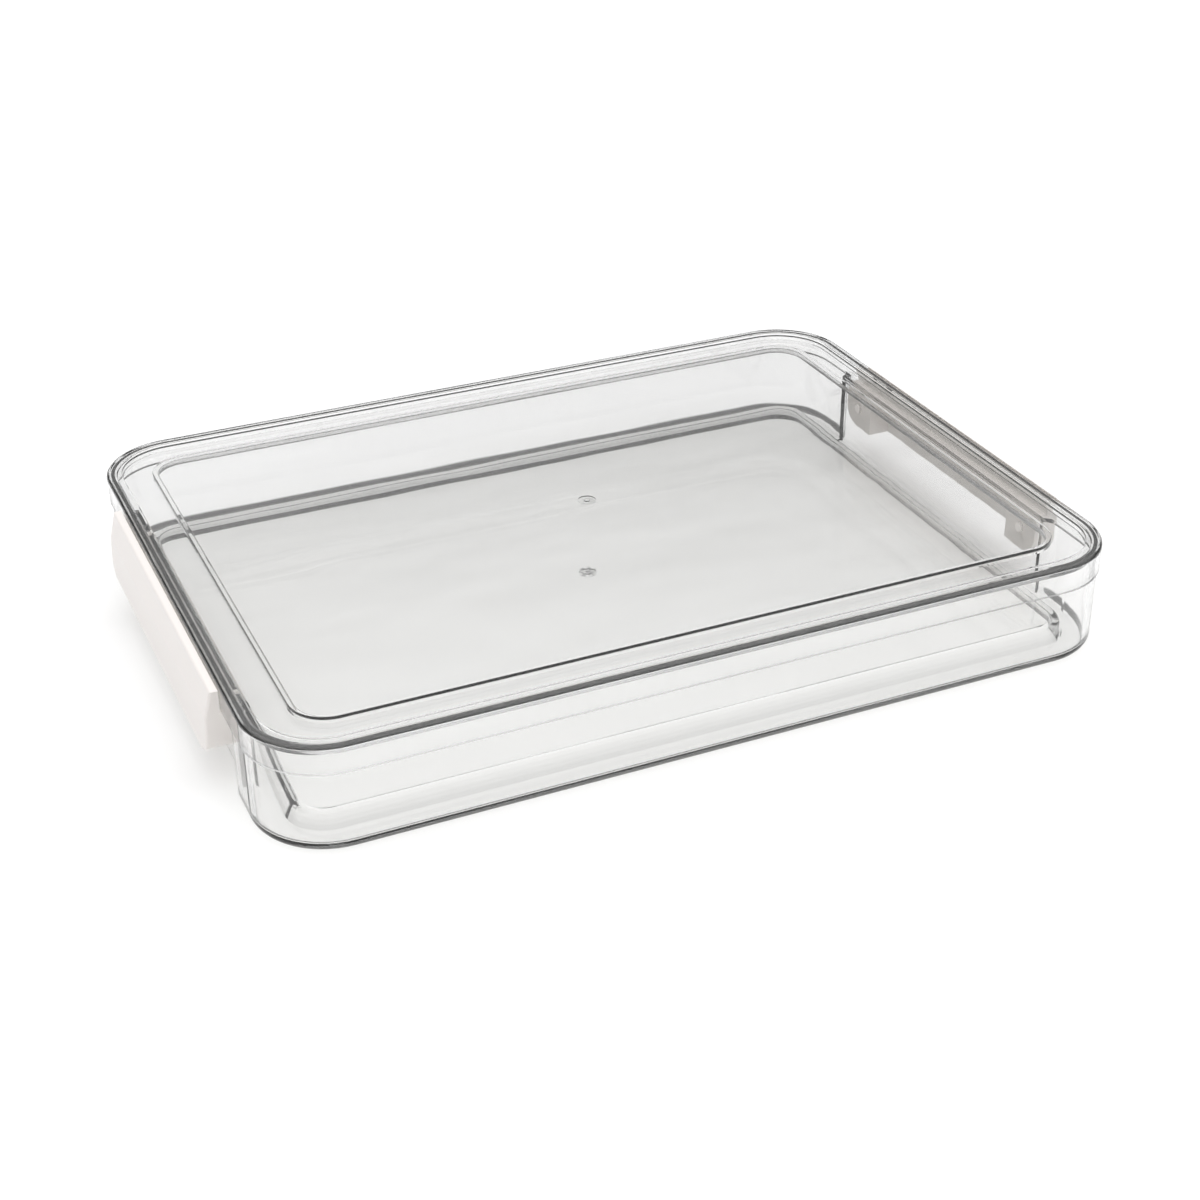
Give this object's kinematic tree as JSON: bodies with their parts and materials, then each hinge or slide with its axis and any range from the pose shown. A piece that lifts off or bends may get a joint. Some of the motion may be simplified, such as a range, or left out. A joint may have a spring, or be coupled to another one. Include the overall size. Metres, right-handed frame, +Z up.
{
  "type": "lidded storage tray",
  "caption": "Shallow clear rectangular refrigerator tray with a lift-off clear lid and a white clip-on bar handle on each short end.",
  "frame": {"origin": "centre of the face that the tray stands on, on the base plane", "axes": "+X along the long side, from the left handle to the right handle; +Y from the front to the back; +Z up"},
  "size_m": [0.3432, 0.248, 0.042],
  "materials": {
    "clear_plastic": "clear injection-moulded plastic, polished",
    "white_plastic": "opaque warm white injection-moulded plastic, satin"
  },
  "bodies": {
    "base": {"tray": "clear_plastic", "handle_left": "white_plastic", "handle_right": "white_plastic"},
    "lid": {"lid": "clear_plastic"}
  },
  "joints": [
    {"name": "lid_lift", "type": "slide", "parent": "base", "child": "lid", "axis": [0, 0, 1], "range_m": [0, 0.06]}
  ]
}
